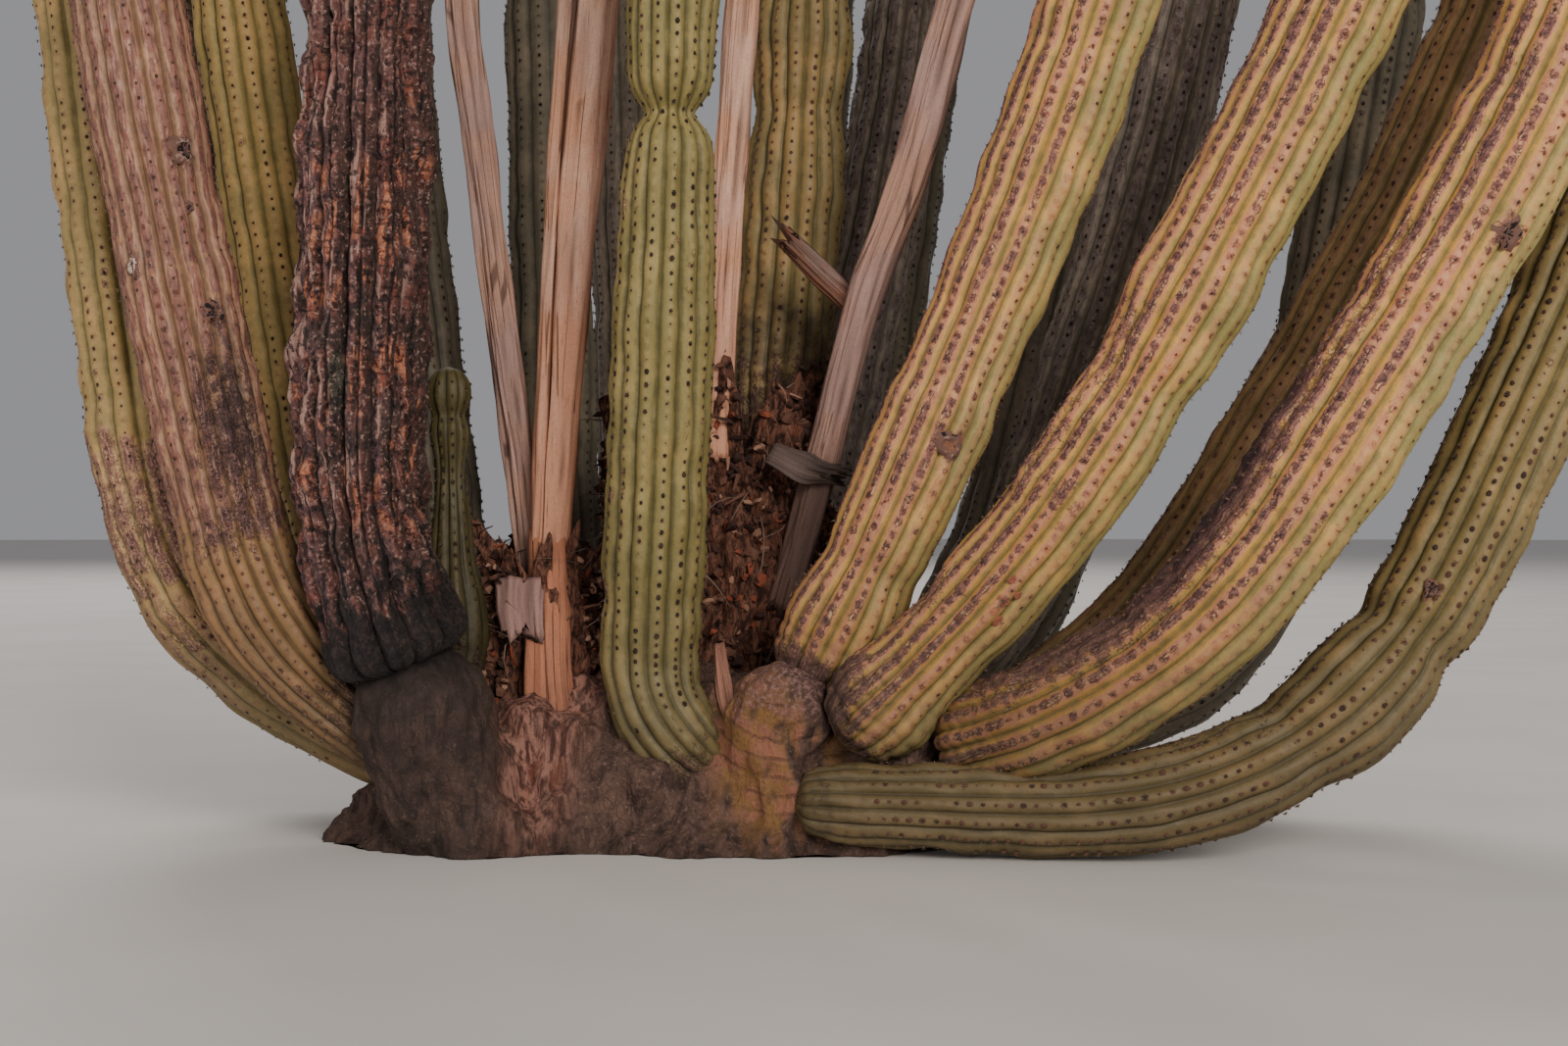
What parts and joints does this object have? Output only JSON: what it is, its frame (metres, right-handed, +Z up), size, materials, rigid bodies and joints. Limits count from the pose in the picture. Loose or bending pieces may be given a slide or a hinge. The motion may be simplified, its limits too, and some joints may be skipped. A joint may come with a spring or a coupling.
{
  "type": "organ pipe cactus",
  "caption": "Tall clump of ribbed cactus arms that sweep out of a low woody root mound and climb, with dead woody ribs and a rotten stump at its heart.",
  "frame": {"origin": "on the flat ground cut under the root mound, below the middle of the open front of the clump", "axes": "+Z up, +X to the right seen from the front of the picture, +Y away from the front"},
  "size_m": [2.7479, 1.8805, 4.2144],
  "materials": {
    "woody_bark": "rough woody bark",
    "rotten_wood": "crumbling fibrous wood",
    "grey_wood": "weathered bare wood",
    "pale_wood": "weathered bare wood",
    "charred_bark": "cracked charred bark",
    "scarred_skin": "corky scarred skin",
    "yellow_green_skin": "waxy matt skin",
    "grey_green_skin": "waxy matt skin in shade",
    "green_skin": "waxy matt skin",
    "ochre_skin": "waxy matt skin, ochre with pink scarred crests"
  },
  "bodies": {
    "root": {"root_mound": "woody_bark", "rotten_heart": "rotten_wood", "rotten_stump_left": "rotten_wood", "dead_rib_left": "grey_wood", "dead_rib_pale": "pale_wood", "dead_rib_hidden": "pale_wood", "dead_rib_right": "grey_wood", "dead_rib_splinter": "grey_wood", "arm_left_barked": "charred_bark", "arm_left_scarred_foot": "scarred_skin", "arm_left_scarred_shaft": "scarred_skin", "arm_left_outer_foot": "yellow_green_skin", "arm_left_outer_shaft": "yellow_green_skin", "arm_left_rear_foot": "yellow_green_skin", "arm_left_rear_shaft": "yellow_green_skin", "arm_left_shaded_foot": "grey_green_skin", "arm_left_shaded_shaft": "grey_green_skin", "arm_centre_front": "green_skin", "arm_centre_rear": "yellow_green_skin", "arm_centre_dark": "grey_green_skin", "arm_right_inner": "ochre_skin", "arm_right_middle_foot": "ochre_skin", "arm_right_middle_shaft": "ochre_skin", "arm_right_front_foot": "ochre_skin", "arm_right_front_shaft": "ochre_skin", "arm_right_low_foot": "green_skin", "arm_right_low_shaft": "green_skin", "arm_right_shade_foot": "grey_green_skin", "arm_right_shade_shaft": "grey_green_skin", "arm_right_dark_foot": "grey_green_skin", "arm_right_dark_shaft": "grey_green_skin", "arm_right_rear_foot": "grey_green_skin", "arm_right_rear_shaft": "grey_green_skin", "pup_left": "green_skin", "arm_back_right_foot": "grey_green_skin", "arm_back_right_shaft": "grey_green_skin", "arm_back_corner_foot": "grey_green_skin", "arm_back_corner_shaft": "grey_green_skin", "arm_back_tall_foot": "grey_green_skin", "arm_back_tall_shaft": "grey_green_skin", "arm_back_low_foot": "grey_green_skin", "arm_back_low_shaft": "grey_green_skin", "arm_back_far_foot": "grey_green_skin", "arm_back_far_shaft": "grey_green_skin", "arm_back_middle_foot": "grey_green_skin", "arm_back_middle_shaft": "grey_green_skin", "arm_back_left_foot": "grey_green_skin", "arm_back_left_shaft": "grey_green_skin", "arm_back_outer_foot": "grey_green_skin", "arm_back_outer_shaft": "grey_green_skin"}
  },
  "joints": []
}
